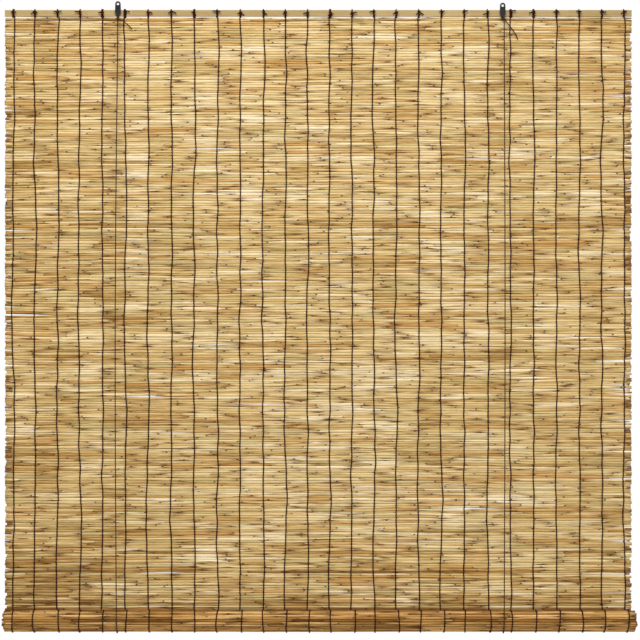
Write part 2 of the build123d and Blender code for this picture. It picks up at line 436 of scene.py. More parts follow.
def use_group(tree, group, inputs):
    return add(tree, "ShaderNodeGroup", inputs, node_tree=group).outputs


# -------------------------------------------------------------------- materials


def new_material(name):
    material = bpy.data.materials.new(name)
    material.use_nodes = True
    tree = material.node_tree
    return material, tree, tree.nodes["Principled BSDF"]


def attribute(tree, name, output="Fac"):
    return add(tree, "ShaderNodeAttribute", attribute_name=name).outputs[output]


def finish_surface(tree, surface, base, roughness, height, depth, gloss=0.3):
    tree.links.new(base, surface.inputs["Base Color"])
    tree.links.new(roughness, surface.inputs["Roughness"])
    surface.inputs["Specular IOR Level"].default_value = gloss
    bump = add(tree, "ShaderNodeBump", {"Strength": 1.0, "Distance": depth, "Height": height})
    tree.links.new(bump.outputs["Normal"], surface.inputs["Normal"])


GREENISH = colour(184, 174, 122)
ROW_APART = 7.37  # sets the noise of one row apart from the next
SLOW_A_METRE = 2.6
PATCHES_A_METRE = 30.0


def reed_material(name, shades, ring_shade, stain_shade, butt_shade, warm_shade, greenness):
    """Dried reed: each reed and each stretch between joints has its own tone, with fibres,
    stains and joints, and what lies between two rows of twine differs too. The ring shade is
    for joints and the core of a stain, and the butt shade for a reed's cut ends."""
    material, tree, surface = new_material(name)
    seed = attribute(tree, "seed")
    height = attribute(tree, "height")
    row = calc(tree, "FLOOR", attribute(tree, "row"))
    fibres, streaks, tone, hue, joints, bruises = use_group(
        tree,
        STEM_GRAIN,
        {0: attribute(tree, "along"), 1: attribute(tree, "round", "Vector"), 2: seed},
    )[:6]
    # Between two rows of twine the reeds have weathered alike, in patches down the mat.
    row = calc(tree, "MULTIPLY", row, ROW_APART)
    slow = vector(tree, row, calc(tree, "MULTIPLY", height, SLOW_A_METRE), 0.0)
    slow = noise_value(tree, slow, 1.0)
    patch = vector(tree, row, calc(tree, "MULTIPLY", height, PATCHES_A_METRE), 5.0)
    patch = noise_value(tree, patch, 1.0)
    value = attribute(tree, "tone")
    for source, low, high, spread in (
        (tone, 0.0, 1.0, 0.19),
        (slow, 0.3, 0.7, 0.09),
        (patch, 0.25, 0.75, 0.12),
        (fibres, 0.32, 0.68, 0.23),
    ):
        value = calc(tree, "ADD", value, fade(tree, source, low, high, -spread, spread))
    base = ramp(tree, value, shades)
    warm = calc(tree, "ADD", hue, fade(tree, patch, 0.3, 0.7, 0.1, -0.1))
    warm = fade(tree, warm, 0.7, 0.98, 0.0, 0.6)
    base = blend_colours(tree, warm, base, warm_shade)
    green = calc(tree, "ADD", hue, fade(tree, slow, 0.3, 0.7, -0.1, 0.1))
    green = fade(tree, green, 0.22, 0.05, 0.0, greenness)
    base = blend_colours(tree, green, base, GREENISH)
    stained = calc(tree, "MAXIMUM", calc(tree, "MULTIPLY", streaks, 0.95), bruises)
    base = blend_colours(tree, calc(tree, "MULTIPLY", stained, 0.85), base, stain_shade)
    base = blend_colours(tree, fade(tree, stained, 0.6, 1.0, 0.0, 0.7), base, ring_shade)
    base = blend_colours(tree, calc(tree, "MULTIPLY", joints, 0.95), base, ring_shade)
    ends = fade(tree, attribute(tree, "butt"), 0.0, 1.0, 0.0, 0.85)
    base = blend_colours(tree, ends, base, butt_shade)
    roughness = fade(tree, fibres, 0.3, 0.7, 0.5, 0.7)
    relief = calc(tree, "ADD", fibres, calc(tree, "MULTIPLY", joints, 1.6))  # joints stand proud
    finish_surface(tree, surface, base, roughness, relief, 0.00025, 0.18)
    return material


def batten_material(name, shades):
    """A planed cane slat: long grain, worn and handled."""
    material, tree, surface = new_material(name)
    place = add(tree, "ShaderNodeTexCoord").outputs["Object"]
    parts = add(tree, "ShaderNodeSeparateXYZ", {0: place})
    around = scaled(tree, place, (0.0, 260.0, 260.0))
    turned = add(tree, "ShaderNodeSeparateXYZ", {0: around})
    around = vector(tree, turned.outputs[1], turned.outputs[2], 0.0)
    fibres, streaks, tone = use_group(
        tree, STEM_GRAIN, {0: calc(tree, "ADD", parts.outputs[0], 2.0), 1: around, 2: 0.37}
    )[:3]
    grain, marks = use_group(tree, FINE_GRAIN, {0: place, 1: 900.0})[:2]
    value = fade(tree, fibres, 0.2, 0.8, 0.1, 0.6)
    value = calc(tree, "ADD", value, calc(tree, "MULTIPLY", tone, 0.4))
    base = ramp(tree, value, shades)
    base = blend_colours(tree, calc(tree, "MULTIPLY", streaks, 0.25), base, colour(132, 104, 60))
    base = blend_colours(tree, calc(tree, "MULTIPLY", marks, 0.25), base, colour(130, 98, 52))
    roughness = fade(tree, grain, 0.3, 0.7, 0.38, 0.56)
    height = calc(tree, "ADD", fibres, calc(tree, "MULTIPLY", grain, 0.5))
    finish_surface(tree, surface, base, roughness, height, 0.0002)
    return material


def strand_material(name, dark, light, turns, depth):
    """Twisted yarn, with painted shade dark in the grooves and its paler, fuzzy colour on the ridges."""
    material, tree, surface = new_material(name)
    along = attribute(tree, "along")
    around = attribute(tree, "round", "Vector")
    ridges, fuzz = use_group(tree, STRAND_LAY, {0: along, 1: around, 2: turns})[:2]
    value = calc(tree, "MULTIPLY", ridges, fade(tree, fuzz, 0.3, 0.7, 0.5, 1.0))
    # Painted shade: the colour darkens from the ridges into the grooves.
    base = ramp(tree, value, [(0.0, dark), (0.9, light)])
    roughness = fade(tree, fuzz, 0.3, 0.7, 0.78, 0.95)
    height = calc(tree, "ADD", ridges, calc(tree, "MULTIPLY", fuzz, 0.4))
    finish_surface(tree, surface, base, roughness, height, depth, 0.15)
    return material


def moulded_material(name):
    """Black moulded plastic: satin, finely grained, paler on its sharp rims."""
    material, tree, surface = new_material(name)
    place = add(tree, "ShaderNodeTexCoord").outputs["Object"]
    grain, marks = use_group(tree, FINE_GRAIN, {0: place, 1: 3200.0})[:2]
    # The sharpest rims are made paler.
    pale_rims = add(tree, "ShaderNodeNewGeometry").outputs["Pointiness"]
    pale_rims = fade(tree, pale_rims, 0.52, 0.62, 0.0, 0.7)
    base = blend_colours(tree, marks, colour(16, 18, 17), colour(24, 26, 25))
    base = blend_colours(tree, pale_rims, base, colour(52, 54, 51))
    roughness = fade(tree, grain, 0.3, 0.7, 0.36, 0.52)
    finish_surface(tree, surface, base, roughness, grain, 0.00008, 0.3)
    return material


REED_SHADES = [
    (0.0, colour(118, 80, 32)),
    (0.2, colour(172, 132, 70)),
    (0.4, colour(204, 172, 109)),
    (0.6, colour(219, 192, 134)),
    (0.8, colour(230, 208, 160)),
    (1.0, colour(240, 226, 196)),
]
ROLL_SHADES = [
    (0.0, colour(82, 48, 12)),
    (0.25, colour(130, 88, 34)),
    (0.5, colour(176, 130, 64)),
    (0.75, colour(208, 162, 94)),
    (1.0, colour(236, 196, 134)),
]
BATTEN_SHADES = [
    (0.0, colour(142, 116, 68)),
    (0.35, colour(164, 138, 88)),
    (0.7, colour(176, 151, 101)),
    (1.0, colour(190, 166, 120)),
]
REED = reed_material(
    "dried_reed",
    REED_SHADES,
    ring_shade=colour(64, 32, 8),
    stain_shade=colour(156, 104, 42),
    butt_shade=colour(112, 74, 28),
    warm_shade=colour(190, 136, 68),
    greenness=0.4,
)
OLD_REED = reed_material(
    "weathered_reed",
    ROLL_SHADES,
    ring_shade=colour(46, 22, 6),
    stain_shade=colour(104, 62, 20),
    butt_shade=colour(76, 46, 18),
    warm_shade=colour(166, 108, 46),
    greenness=0.0,
)
BATTEN = batten_material("smooth_batten", BATTEN_SHADES)
# For each strand, the first colour is the painted shade in its grooves and the second its ridges.
TWINE = strand_material("brown_twine", colour(22, 5, 4), colour(76, 30, 20), 420.0, 0.0003)
CORD = strand_material("olive_cord", colour(34, 20, 7), colour(84, 58, 28), 210.0, 0.0004)
PLASTIC = moulded_material("black_plastic")


# ------------------------------------------------------------- rods and strands


def rod_tree():
    """Makes a round or oval rod along every line of the mesh it is given, as thick as the
    line's own thickness says, a little uneven, with the place along it and round it stored."""
    tree, given, result = new_group(
        "Rods",
        "GeometryNodeTree",
        [
            ("Lines", "NodeSocketGeometry"),
            ("Sides", "NodeSocketInt"),
            ("Tall", "NodeSocketFloat"),
            ("Uneven", "NodeSocketFloat"),
            ("Lumps a metre", "NodeSocketFloat"),
            ("Seed", "NodeSocketFloat"),
            ("Material", "NodeSocketMaterial"),
        ],
        [("Rods", "NodeSocketGeometry")],
    )
    lines = add(tree, "GeometryNodeMeshToCurve", {"Mesh": given.outputs["Lines"]})
    length = add(tree, "GeometryNodeSplineParameter").outputs["Length"]
    lines = add(
        tree,
        "GeometryNodeStoreNamedAttribute",
        {"Geometry": lines.outputs[0], "Name": "along", "Value": length},
        data_type="FLOAT",
        domain="POINT",
    )
    ring = add(
        tree,
        "GeometryNodeCurvePrimitiveCircle",
        {"Resolution": given.outputs["Sides"], "Radius": 1.0},
    )
    place = add(tree, "GeometryNodeInputPosition").outputs[0]
    ring = add(
        tree,
        "GeometryNodeStoreNamedAttribute",
        {"Geometry": ring.outputs[0], "Name": "round", "Value": place},
        data_type="FLOAT_VECTOR",
        domain="POINT",
    )
    deep = calc(tree, "SUBTRACT", 2.0, given.outputs["Tall"])
    oval = add(
        tree,
        "GeometryNodeTransform",
        {"Geometry": ring.outputs[0], "Scale": vector(tree, deep, given.outputs["Tall"], 1.0)},
    )
    thickness = add(tree, "GeometryNodeInputNamedAttribute", {"Name": "thickness"})
    rods = add(
        tree,
        "GeometryNodeCurveToMesh",
        {
            "Curve": lines.outputs[0],
            "Profile Curve": oval.outputs[0],
            "Scale": thickness.outputs[0],
            "Fill Caps": True,
        },
    )
    lumps = add(
        tree,
        "ShaderNodeTexNoise",
        {
            "Vector": place,
            "W": given.outputs["Seed"],
            "Scale": given.outputs["Lumps a metre"],
            "Detail": 1.0,
        },
        noise_dimensions="4D",
    )
    swing = calc(tree, "SUBTRACT", lumps.outputs["Fac"], 0.5)
    swing = calc(tree, "MULTIPLY", swing, given.outputs["Uneven"])
    outward = add(tree, "GeometryNodeInputNormal").outputs[0]
    push = add(tree, "ShaderNodeVectorMath", {0: outward, "Scale": swing}, operation="SCALE")
    rods = add(
        tree,
        "GeometryNodeSetPosition",
        {"Geometry": rods.outputs[0], "Offset": push.outputs[0]},
    )
    corners = add(tree, "GeometryNodeInputMeshFaceNeighbors").outputs["Vertex Count"]
    side_face = add(
        tree,
        "FunctionNodeCompare",
        {"A": corners, "B": TWINE_SIDES},  # the sides have four corners, the ends this or more
        data_type="INT",
        operation="LESS_THAN",
    )
    rods = add(
        tree,
        "GeometryNodeSetShadeSmooth",
        {"Geometry": rods.outputs[0], "Shade Smooth": side_face.outputs[0]},
    )
    rods = add(tree, "GeometryNodeRealizeInstances", {"Geometry": rods.outputs[0]})
    rods = add(
        tree,
        "GeometryNodeSetMaterial",
        {"Geometry": rods.outputs[0], "Material": given.outputs["Material"]},
    )
    tree.links.new(rods.outputs[0], result.inputs[0])
    return tree


ROD_TREE = rod_tree()


def as_plain_mesh(piece):
    graph = bpy.context.evaluated_depsgraph_get()
    return bpy.data.meshes.new_from_object(
        piece.evaluated_get(graph), preserve_all_data_layers=True, depsgraph=graph
    )


def rods(name, lines, material, sides, uneven=0.0, lumps_a_metre=1.0, seed=1.0, tall=1.0):
    """One piece made of many rods. Each line is a dict of points and of values that are
    either one number for the whole line or one for each point."""
    points, edges, values = [], [], {}
    for line in lines:
        first, count = len(points), len(line["points"])
        points += [tuple(p) for p in line["points"]]
        edges += [(first + i, first + i + 1) for i in range(count - 1)]
        for key, value in line.items():
            if key != "points":
                each = list(value) if hasattr(value, "__len__") else [value] * count
                values.setdefault(key, []).extend(each)
    mesh = bpy.data.meshes.new(name)
    mesh.from_pydata(points, edges, [])
    for key, each in values.items():
        mesh.attributes.new(key, "FLOAT", "POINT").data.foreach_set("value", each)
    piece = bpy.data.objects.new(name, mesh)
    bpy.context.scene.collection.objects.link(piece)
    modifier = piece.modifiers.new("Rods", "NODES")
    modifier.node_group = ROD_TREE
    given = {
        "Sides": sides,
        "Tall": tall,
        "Uneven": uneven,
        "Lumps a metre": lumps_a_metre,
        "Seed": seed,
        "Material": material,
    }
    for socket in ROD_TREE.interface.items_tree:
        if socket.in_out == "INPUT" and socket.name in given:
            modifier[socket.identifier] = given[socket.name]
    plain = as_plain_mesh(piece)
    piece.modifiers.clear()
    piece.data = plain
    return piece


def smooth_route(points, closeness=8):
    """Points along the smooth curve that a cord's control points pull into shape."""
    curve = bpy.data.curves.new("route", "CURVE")
    curve.dimensions = "3D"
    spline = curve.splines.new("NURBS")
    spline.points.add(len(points) - 1)
    for control, place in zip(spline.points, points):
        control.co = (*place, 1.0)
    spline.order_u = 3
    spline.use_endpoint_u = True
    spline.resolution_u = closeness
    route = bpy.data.objects.new("route", curve)
    bpy.context.scene.collection.objects.link(route)
    line = as_plain_mesh(route)
    places = [vertex.co.copy() for vertex in line.vertices]
    bpy.data.objects.remove(route)
    bpy.data.curves.remove(curve)
    bpy.data.meshes.remove(line)
    return places


def wave(size, x, y, z):
    """A smooth random rise or fall, up to about this size, that depends on the place alone."""
    return size * noise.noise(Vector((x, y, z)))


# ------------------------------------------------------------------ hanging reeds

SLIT_REACH = 0.03  # how far above and below a slit the reeds give way

# Slits where reeds have drawn apart: middle along X, height, half width and opening. These
# are listed, and the loop below adds seeded ones.
SLITS = [
    (-0.430, -0.043, 0.052, 2.3 * MM),
    (-0.278, -0.222, 0.040, 2.1 * MM),
    (-0.305, -0.490, 0.058, 2.2 * MM),
    (0.520, -0.038, 0.060, 2.1 * MM),
    (0.455, -0.168, 0.070, 1.9 * MM),
    (0.560, -0.207, 0.045, 2.1 * MM),
    (-0.575, 0.543, 0.040, 2.4 * MM),
    (0.300, 0.300, 0.050, 1.7 * MM),
    (-0.120, 0.120, 0.045, 1.6 * MM),
    (0.080, -0.330, 0.040, 1.6 * MM),
]
MORE_SLITS = 34
SLITS_AT_EDGES = 24
slit_rng = random.Random(12)
for number in range(MORE_SLITS):
    # Most are at the two edges, where the reeds' ends are free.
    side = slit_rng.choice((-1, 1))
    at_edge = number < SLITS_AT_EDGES
    SLITS.append(
        (
            side * (HALF_REED if at_edge else slit_rng.uniform(0.1, 0.5)),
            slit_rng.triangular(-0.52, 0.52, -0.15),
            slit_rng.uniform(0.03, 0.075) if at_edge else slit_rng.uniform(0.04, 0.06),
            slit_rng.uniform(1.6, 3.0) * MM,
        )
    )


def drift(x, z):
    """How far the reeds at a place stand above an even spacing: they lie in slow waves,
    and part at the slits."""
    calm_above, calm_below, drawn_up = 0.08, 0.05, 0.05
    calm = min(1.0, (SHEET_HIGH.z - z) / calm_above, (z - SHEET_LOW.z) / calm_below)
    rise = wave(1.3 * MM, x * 4.0, z * 5.0, 3.0) * max(calm, 0.1)
    rise += wave(1.6 * MM, x * 9.0, z * 34.0, 8.0) * max(calm, 0.3)
    # The first reeds are drawn up towards the batten, here more and there less.
    lifted = 1.4 + wave(4.0, x * 5.0, 2.0, 6.0)
    rise += min(max(lifted, 0.0), 2.4) * MM * max(0.0, 1 - (SHEET_HIGH.z - z) / drawn_up)
    for middle, height, half, opening in SLITS:
        away = z - height
        if abs(away) < SLIT_REACH and abs(x - middle) < half:
            share = math.cos(math.pi / 2 * (x - middle) / half) ** 0.6
            side = 1 if away > 0 else -1
            rise += side * opening / 2 * share * (1 - abs(away) / SLIT_REACH)
    return rise


RAGGED = (0.9 * MM, 1.8 * MM, 1.8 * MM, 4.0 * MM)  # how far short an end may be
OVER_LONG = 0.4 * MM  # how far past its place an end may be
DARK_ENDS = 0.25  # the share of ends that are stained dark


def reed_line(rng, middle_x, half_length, z, radius, place):
    """One reed's line and values. place turns (x, z) into the reed's own middle there."""
    ragged = rng.choice(RAGGED)
    left = middle_x - half_length + rng.uniform(-OVER_LONG, ragged)
    ragged = rng.choice(RAGGED)
    right = middle_x + half_length - rng.uniform(-OVER_LONG, ragged)
    taper = rng.uniform(-0.12, 0.12)
    phase = rng.uniform(0.0, 50.0)
    dark = [rng.random() < DARK_ENDS for _ in range(2)]
    reach = [rng.uniform(0.004, 0.013) for _ in dark]
    xs = [left, left + reach[0]]
    xs += [middle_x + x - MAT_X for x in THREAD_X]
    xs += [right - reach[1], right]
    points, thickness = [], []
    for x in xs:
        share = (x - left) / (right - left) - 0.5
        bow = wave(0.6 * MM, x * 8.0, phase, 1.0)
        lean = wave(0.6 * MM, x * 5.0, phase, 7.0)
        points.append(place(x, z, bow, lean))
        lumpy = 1 + 2 * taper * share + wave(0.16, x * 9.0, phase, 4.0)
        thickness.append(radius * lumpy)
    # The free ends past the last twine are splayed and thinner.
    for end, amount in ((0, 1.0), (1, 0.6), (-2, 0.6), (-1, 1.0)):
        y, height = points[end][1:]
        points[end] = (points[end][0], y, height + amount * rng.uniform(-0.6, 0.6) * MM)
        thickness[end] *= 1 - amount * rng.uniform(0.0, 0.3)
    butts = [1.0 if dark[0] else 0.4, 0.9 * dark[0]] + [0.0] * THREAD_COUNT
    butts += [0.9 * dark[1], 1.0 if dark[1] else 0.4]
    rows = [-0.4, -0.2, *range(THREAD_COUNT), THREAD_COUNT - 0.8, THREAD_COUNT - 0.6]
    return {
        "points": points,
        "thickness": thickness,
        "butt": butts,
        "row": rows,
        "seed": rng.uniform(0.0, 1.0),
    }


# A reed's own radius over the radius of the room that it takes up, and its height over its
# depth: the mat is pressed a little flat.
HANGING_OVERLAP = 1.035
ROLLED_OVERLAP = 0.93
HANGING_TALL = 1.1


def hanging_reed_lines():
    """The stack of reeds from the batten down to the roll."""
    rng = random.Random(41)
    radii = [1.7 * MM, 1.9 * MM]
    drop = SHEET_HIGH.z - SHEET_LOW.z
    usual_reed = 4.6 * MM
    while sum(radii) * 2 < drop - usual_reed:
        radii.append(rng.triangular(1.5, 3.2, 2.3) * MM)
    fit = drop / (2 * sum(radii))
    lines = []
    z = SHEET_HIGH.z
    for number, radius in enumerate(radii):
        radius *= fit
        z -= radius
        stand = MAT_Y + rng.uniform(-0.6, 0.6) * MM

        def place(x, height, bow, lean, stand=stand):
            return (x, stand + lean, height + drift(x, height) + bow)

        line = reed_line(rng, MAT_X, HALF_REED, z, radius * HANGING_OVERLAP, place)
        depth = (SHEET_HIGH.z - z) / drop
        tone = min(max(rng.gauss(0.54, 0.075), 0.05), 0.95)
        if depth > 0.9:
            # The mat is darker just above the roll.
            tone -= 0.12 * min(1.0, (depth - 0.9) / 0.04)
        if number < 2:
            # The first reed is pale, and the second is brown, as painted shade below the first.
            tone = (0.75, 0.2)[number]
        elif z < ROLL_HIGH.z - 0.5 * MM:
            # In the shade behind the roll
            tone = -0.1
        # Paler in the middle of the blind than towards its sides
        line["tone"] = [
            tone + 0.06 - 0.24 * max(0.0, abs(p[0] - 0.05) / HALF_REED - 0.5)
            for p in line["points"]
        ]
        line["height"] = z
        lines.append(line)
        z -= radius
    return lines


SHEET_LINES = hanging_reed_lines()
sheet = rods(
    "reed_sheet",
    SHEET_LINES,
    REED,
    REED_SIDES,
    uneven=REED_UNEVEN,
    lumps_a_metre=REED_LUMPS_A_METRE,
    seed=3.0,
    tall=HANGING_TALL,
)


def at_x(line, x):
    """Where a reed is, and how thick, at a place along it."""
    points, thickness = line["points"], line["thickness"]
    for (p, q), (a, b) in zip(zip(points, points[1:]), zip(thickness, thickness[1:])):
        if q[0] >= x:
            share = min(max((x - p[0]) / (q[0] - p[0]), 0.0), 1.0)
            y = p[1] + (q[1] - p[1]) * share
            z = p[2] + (q[2] - p[2]) * share
            return y, z, a + (b - a) * share
    return points[-1][1], points[-1][2], thickness[-1]


# -------------------------------------------------------------------- rolled reeds

TURN_PITCH = 4.9 * MM
TURN_START = math.radians(36)
FIRST_RADIUS = ROLL_RADIUS - 2.4 * MM + TURN_PITCH / 4  # 2.4 mm is about half a reed
ROLL_SPAN = 0.236  # the length of mat that is wound up
WIDER_INSIDE = 6.2 * MM  # how far the inner turns stand out at each end
WIDEST_TURN = 2.4  # the turn, counted inwards, that stands out by all of that


def roll_place(distance, out=0.0):
    """A point on the mat's line in the roll, this far along it, in Y and Z: down the back,
    under, up the front, and on inwards."""
    root = math.sqrt(FIRST_RADIUS**2 - TURN_PITCH * distance / math.pi)
    turned = (FIRST_RADIUS - root) * 2 * math.pi / TURN_PITCH
    radius = FIRST_RADIUS - TURN_PITCH * turned / (2 * math.pi) + out
    angle = TURN_START - turned
    y = radius * math.cos(angle) - TURN_PITCH / 4 * math.cos(TURN_START)
    z = radius * math.sin(angle) - TURN_PITCH / 4 * math.sin(TURN_START)
    return y, ROLL_Z + z, turned


def rolled_up(x, distance, bow, lean):
    """The middle of a rolled reed at x, this far along the mat."""
    swell = wave(0.5 * MM, x * 5.0, distance * 30.0, 11.0)
    y, z, _ = roll_place(distance + swell + bow, lean * 0.6 - 0.1 * MM)
    return (x, y, z)


def rolled_reed_lines():
    """The reeds of the wound mat, from its outer turn inwards."""
    rng = random.Random(77)
    lines, distance = [], 0.0
    while distance < ROLL_SPAN:
        radius = rng.triangular(1.9, 2.75, 2.3) * MM
        distance += radius
        turned = roll_place(distance)[2]
        rng.random()  # a spare draw, which keeps the later ones as they are
        share = min(turned / (2 * math.pi) / WIDEST_TURN, 1.0)
        half = HALF_REED - 0.6 * MM + WIDER_INSIDE * share
        line = reed_line(rng, 0.0, half, distance, radius * ROLLED_OVERLAP, rolled_up)
        line["tone"] = min(max(rng.gauss(0.56, 0.2), 0.02), 1.0)
        line["height"] = distance
        line["distance"] = distance
        lines.append(line)
        distance += radius
    return lines


ROLL_LINES = rolled_reed_lines()
roll = rods(
    "reed_roll",
    ROLL_LINES,
    OLD_REED,
    REED_SIDES,
    uneven=REED_UNEVEN,
    lumps_a_metre=REED_LUMPS_A_METRE,
    seed=5.0,
)


# ----------------------------------------------------------------------- warp twine


def twined_pair(rng, x, crossings, direction):
    """Two strands that pass each reed one in front and one behind, and change places
    between reeds. crossings gives each reed's (line point, front way) at this row."""
    strands = []
    sway = rng.uniform(0.0, 30.0)
    for strand in (0, 1):
        points = []
        for number, (before, middle, _, out, radius) in enumerate(crossings):
            side = 1 if (number + strand) % 2 else -1
            reach = (radius + TWINE_RADIUS * 0.8) * side
            lateral = 0.6 * TWINE_RADIUS * side * direction
            px = x + wave(2.3 * MM, number * 0.11, sway, 2.0)
            px += wave(4.6 * MM, number * 0.028, sway, 4.0)
            points.append((px, before[0], before[1]))
            for share in (-0.5, 0.5):
                lean = (middle[0] - before[0], middle[1] - before[1])
                y = middle[0] + lean[0] * share + out[0] * reach
                z = middle[1] + lean[1] * share + out[1] * reach
                points.append((px + lateral * (1 if share > 0 else 0.2), y, z))
        last = crossings[-1][2]
        points.append((x, last[0], last[1]))
        strands.append({"points": points, "thickness": TWINE_RADIUS})
    return strands


def sheet_crossings(x):
    """Where a row of twine at x crosses each hanging reed, from the batten down."""
    row = []
    previous = (MAT_Y, SHEET_HIGH.z + 0.4 * MM)
    spots = [at_x(line, x) for line in SHEET_LINES]
    for number, (y, z, radius) in enumerate(spots):
        if number + 1 < len(spots):
            below = spots[number + 1]
            after = ((y + below[0]) / 2, (z - radius + below[1] + below[2]) / 2)
        else:
            after = (y, z - radius)
        row.append((previous, (y, z), after, (-1.0, 0.0), radius))
        previous = after
    return row


def roll_crossings(x):
    """Where a row of twine at x crosses each reed in the roll's outer turn."""
    row = []
    outer_turn = 6.9  # radians: a little more than one turn, as deep as can be seen
    shown = [line for line in ROLL_LINES if roll_place(line["distance"])[2] < outer_turn]
    for line in shown:
        y, z, radius = at_x(line, x)
        before = roll_place(line["distance"] - radius)
        after = roll_place(line["distance"] + radius)
        out = Vector((y, z - ROLL_Z)).normalized()
        row.append((before[:2], (y, z), after[:2], tuple(out), radius))
    return row


rng = random.Random(5)
sheet_twine = []  # in three pieces, by the numbers of their rows
for first, last in ((0, 10), (10, 19), (19, THREAD_COUNT)):
    strands = []
    for x in THREAD_X[first:last]:
        strands += twined_pair(rng, x, sheet_crossings(x), rng.choice((-1, 1)))
    sheet_twine.append(rods(f"warp_twine_{first}", strands, TWINE, TWINE_SIDES))

strands = []
for x in THREAD_X:
    off = x - MAT_X + rng.uniform(-0.6, 0.6) * MM
    strands += twined_pair(rng, off, roll_crossings(off), rng.choice((-1, 1)))
roll_twine = rods("roll_twine", strands, TWINE, TWINE_SIDES)


# --------------------------------------------------------------------- batten knots


def squared(angle, half_depth, half_height, power=0.45):
    """A point round a flat bar, in Y and Z from its middle."""
    c, s = math.cos(angle), math.sin(angle)
    y = half_depth * math.copysign(abs(c) ** power, c)
    z = half_height * math.copysign(abs(s) ** power, s)
    return y, z


def overhand(size, depth, start, turn, count=26):
    """The loop of an overhand knot in its own X, Y (out) and Z, without its ends."""
    points = []
    for i in range(count):
        t = start + turn * 2 * math.pi * 0.93 * i / (count - 1)
        x = size * (math.sin(t) + 2 * math.sin(2 * t)) / 3
        z = size * (math.cos(t) - 2 * math.cos(2 * t)) / 3
        points.append((x, depth * math.sin(3 * t), z))
    return points


def batten_tie(rng, x):
    """A row's tie at the batten: turns round it, a knot on its face and one or two ends."""
    lines = []
    half_depth = (BATTEN_HIGH.y - BATTEN_LOW.y) / 2 + TWINE_RADIUS
    half_height = (BATTEN_HIGH.z - BATTEN_LOW.z) / 2 + TWINE_RADIUS
    turns = rng.choice((1.5, 1.5, 2.5))
    start = rng.uniform(-0.3, 0.3)
    spread = TWINE_RADIUS * 1.5
    wraps = []
    a_turn = 20  # points
    for i in range(int(turns * a_turn) + 1):
        angle = start - 2 * math.pi * i / a_turn
        y, z = squared(angle, half_depth, half_height)
        across = (i / a_turn - turns / 2) * spread + 0.15 * MM * math.sin(i * 1.3 + x * 50)
        wraps.append((x + across, MAT_Y + y, BATTEN_Z + z))
    lines.append({"points": wraps, "thickness": TWINE_RADIUS})
    face_y = BATTEN_LOW.y - 2 * TWINE_RADIUS - 1.5 * MM
    knot_z = BATTEN_Z + rng.uniform(-0.6, 3.4) * MM
    knot_x = x + rng.uniform(-0.7, 0.7) * MM
    loop_size = rng.uniform(2.1, 2.7) * MM
    loop = overhand(loop_size, 1.15 * MM, rng.uniform(0, 6.2), rng.choice((-1, 1)))
    knot = [(knot_x + px, face_y + py, knot_z + pz) for px, py, pz in loop]
    for end in range(rng.choice((1, 2, 2))):
        tip = knot[0] if end else knot[-1]
        side = rng.choice((-1, 1)) if not end else -side
        reach = rng.uniform(4.6, 8.2) * MM
        slope = rng.uniform(-0.9, 0.25)
        stray = [
            (
                tip[0] + side * reach * share,
                face_y + 0.4 * MM - 0.9 * MM * share * share,
                tip[2] + reach * slope * share + 1.2 * MM * math.sin(3 * share) * share,
            )
            for share in (0.28, 0.52, 0.77, 1.0)
        ]
        knot = stray[::-1] + knot if end else knot + stray
    lines.append({"points": knot, "thickness": TWINE_RADIUS * 1.02})
    drop = [
        (x + 0.7 * MM, BATTEN_LOW.y - 1.0 * MM, BATTEN_Z - 2.0 * MM),
        (x + 0.6 * MM, BATTEN_LOW.y - 0.9 * MM, BATTEN_Z - 5.0 * MM),
        (x + 0.3 * MM, BATTEN_LOW.y + 0.3 * MM, BATTEN_LOW.z - 0.8 * MM),
        (x, MAT_Y - 0.6 * MM, SHEET_HIGH.z + 0.4 * MM),
    ]
    lines.append({"points": drop, "thickness": TWINE_RADIUS})
    return lines


ties = []
for x in THREAD_X:
    ties += batten_tie(rng, x + rng.uniform(-0.8, 0.8) * MM)
batten_ties = rods(
    "batten_ties", ties, TWINE, TIE_SIDES, uneven=0.12 * MM, lumps_a_metre=700.0, seed=9.0
)


# ------------------------------------------------------------------------ lift cords

# The tails' points, from the middle of the knot
LEFT_TAIL = [
    (4.6, 1.0, -1.6),
    (12.0, 2.9, -5.0),
    (19.5, 4.0, -10.5),
    (26.9, 4.4, -18.4),
]
RIGHT_TAIL = [
    (3.3, 1.0, -3.2),
    (10.4, 3.0, -11.6),
    (17.6, 4.2, -20.6),
    (23.0, 4.6, -28.6),
    (26.4, 4.7, -37.4),
]
KNOT_RADIUS = 2.6 * MM
KNOT_REACH = 2.7 * MM  # from the knot's middle to where the cord is clear of it
EYE_RISE = 3.4 * MM  # from a hanger's lower end to its lower eye's middle


def knot_middle(side):
    """The middle of the cord's knot, where its front run and its tail both point, and the
    hanger's lower eye in X and Z."""
    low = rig.box(f"{side}_cord_knot")[0]
    hanger_low, hanger_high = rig.box(f"{side}_hanger")
    eye_x = (hanger_low.x + hanger_high.x) / 2
    eye_z = hanger_low.z + EYE_RISE
    across, up = {"left": (0.0, -6.8), "right": (2.6, -4.4)}[side]
    knot = Vector((eye_x + across * MM, low.y + KNOT_RADIUS, eye_z + up * MM))
    return knot, eye_x, eye_z


def tidy_cord(name, points, closeness=8):
    """One cord along the smooth curve of its points, and the route that it takes."""
    route = smooth_route(points, closeness)
    line = {"points": route, "thickness": CORD_RADIUS}
    return rods(name, [line], CORD, CORD_SIDES), route


